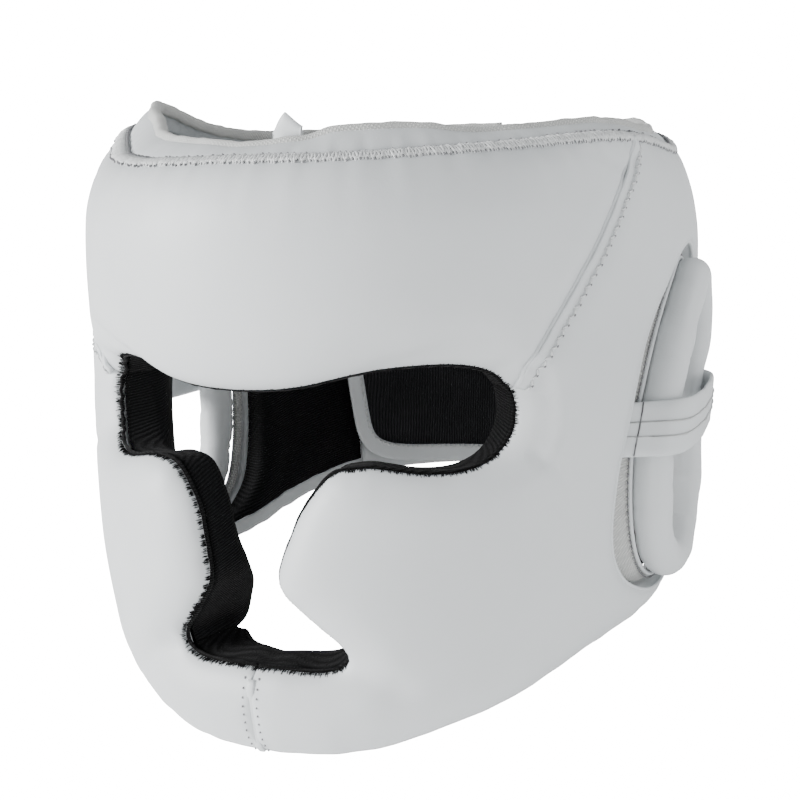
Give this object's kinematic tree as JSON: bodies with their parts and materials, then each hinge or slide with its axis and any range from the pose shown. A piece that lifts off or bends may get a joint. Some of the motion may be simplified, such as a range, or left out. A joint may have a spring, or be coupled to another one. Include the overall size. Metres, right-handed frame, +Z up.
{
  "type": "boxing headgear",
  "caption": "Padded full-face sparring headgear with a broad brow pad, cheek and chin guards, stuffed ear rings, an open crown and a rear closure flap.",
  "frame": {"origin": "middle of the bounding box at floor level", "axes": "+X towards the wearer's left, -Y towards the face, +Z up from the floor it rests on"},
  "size_m": [0.2332, 0.2704, 0.1923],
  "materials": {
    "white_leather": "smooth semi-matte artificial leather",
    "black_knit": "fine ribbed knit over foam",
    "black_fastener": "brushed loop face",
    "black_ribbon": "woven ribbon",
    "grey_tape": "woven binding tape"
  },
  "bodies": {
    "root": {"chin_lining": "black_knit", "closure_binding": "white_leather", "closure_flap": "black_fastener", "closure_strap": "white_leather", "crown_binding": "grey_tape", "crown_collar": "white_leather", "crown_strap": "black_ribbon", "crown_tab": "white_leather", "ear_binding_left": "grey_tape", "ear_binding_right": "grey_tape", "ear_pad_left": "white_leather", "ear_pad_right": "white_leather", "ear_strap_left": "white_leather", "ear_strap_right": "white_leather", "face_pad_left": "white_leather", "face_pad_right": "white_leather", "forehead_lining": "black_knit", "forehead_pad": "white_leather", "seam_piping_left": "white_leather", "seam_piping_right": "white_leather", "side_lining_left": "black_knit", "side_lining_right": "black_knit"}
  },
  "joints": []
}
